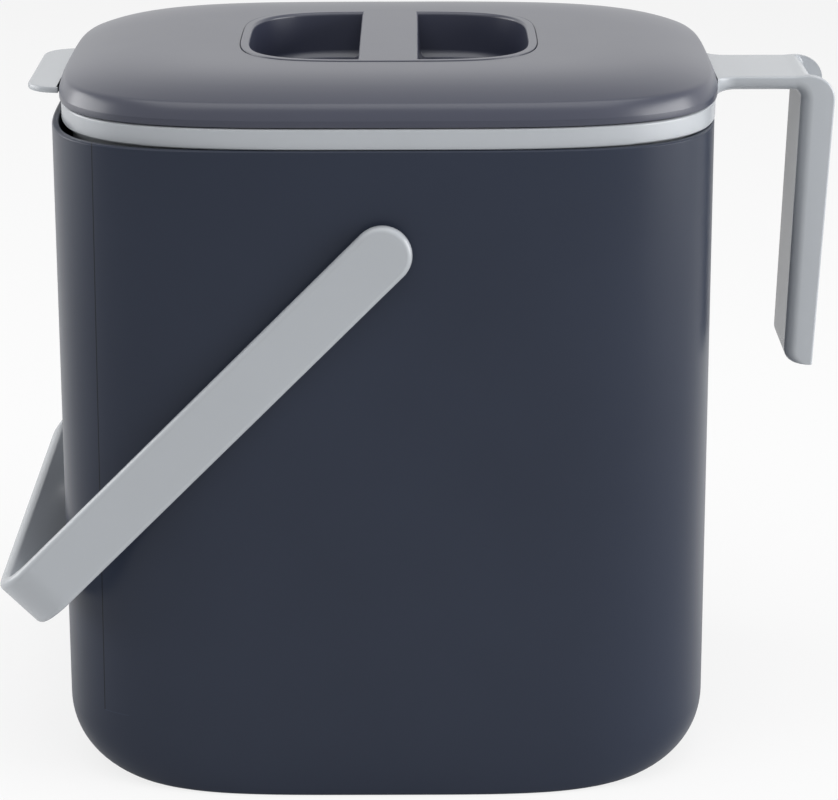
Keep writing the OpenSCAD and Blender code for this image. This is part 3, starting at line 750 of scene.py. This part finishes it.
# ---------------------------------------------------------------- studio, in metres and watts
FLOOR_HALF = 3.0
FLOOR_COLOUR = (0.86, 0.86, 0.86, 1)
FLOOR_WHITE_SHARE = 0.8
WHITE = (1, 1, 1, 1)
WORLD_LIGHT = 0.32


def flat_sheet(name, corners, material):
    mesh = bpy.data.meshes.new(name)
    mesh.from_pydata(corners, [], [tuple(range(len(corners)))])
    obj = bpy.data.objects.new(name, mesh)
    bpy.context.scene.collection.objects.link(obj)
    mesh.materials.append(material)


def floor_material():
    """A white floor whose shadow stays visible to the camera."""
    material, tree, shader = new_material("floor")
    shader.inputs["Base Color"].default_value = FLOOR_COLOUR
    shader.inputs["Roughness"].default_value = 0.9
    shader.inputs["Specular IOR Level"].default_value = 0.1
    white = tree.nodes.new("ShaderNodeEmission")
    white.inputs["Strength"].default_value = 1.0
    path = tree.nodes.new("ShaderNodeLightPath")
    blend = tree.nodes.new("ShaderNodeMixShader")
    share = maths(tree, "MULTIPLY", path.outputs["Is Camera Ray"], FLOOR_WHITE_SHARE)
    tree.links.new(share, blend.inputs["Fac"])
    tree.links.new(shader.outputs["BSDF"], blend.inputs[1])
    tree.links.new(white.outputs["Emission"], blend.inputs[2])
    tree.links.new(blend.outputs["Shader"], tree.nodes["Material Output"].inputs["Surface"])
    return material


def plain_light(tree, strength):
    """White light of one strength from all sides."""
    node = tree.nodes.new("ShaderNodeBackground")
    node.inputs["Color"].default_value = WHITE
    node.inputs["Strength"].default_value = strength
    return node.outputs["Background"]


def white_world(light_strength):
    """A soft world light, which camera, mirror and glass rays see as plain white."""
    world = bpy.data.worlds.new("studio")
    bpy.context.scene.world = world
    world.use_nodes = True
    tree = world.node_tree
    tree.nodes.clear()
    path = tree.nodes.new("ShaderNodeLightPath")
    seen = path.outputs["Is Camera Ray"]
    for kind in ("Is Glossy Ray", "Is Transmission Ray"):
        seen = maths(tree, "MAXIMUM", seen, path.outputs[kind])
    mix = tree.nodes.new("ShaderNodeMixShader")
    tree.links.new(seen, mix.inputs["Fac"])
    tree.links.new(plain_light(tree, light_strength), mix.inputs[1])
    tree.links.new(plain_light(tree, 1.0), mix.inputs[2])
    out = tree.nodes.new("ShaderNodeOutputWorld")
    tree.links.new(mix.outputs["Shader"], out.inputs["Surface"])


def soft_box(name, at, target, width, height, watts):
    data = bpy.data.lights.new(name, "AREA")
    data.shape = "RECTANGLE"
    data.size = width
    data.size_y = height
    data.energy = watts
    lamp = bpy.data.objects.new(name, data)
    lamp.location = at
    lamp.rotation_euler = (Vector(target) - Vector(at)).to_track_quat("-Z", "Y").to_euler()
    bpy.context.scene.collection.objects.link(lamp)


floor_ends = ((-1, -1), (1, -1), (1, 1), (-1, 1))
flat_sheet("floor", [(FLOOR_HALF * x, FLOOR_HALF * y, 0) for x, y in floor_ends], floor_material())
white_world(WORLD_LIGHT)
soft_box("key", (1.7, -0.4, 0.45), (0, 0, 0.08), 1.6, 1.0, 30)
soft_box("side", (-1.7, 0.4, 0.5), (0, 0, 0.1), 1.6, 1.0, 18)
soft_box("top", (0.0, -0.45, 1.5), (0, 0, 0.2), 2.0, 1.6, 17)
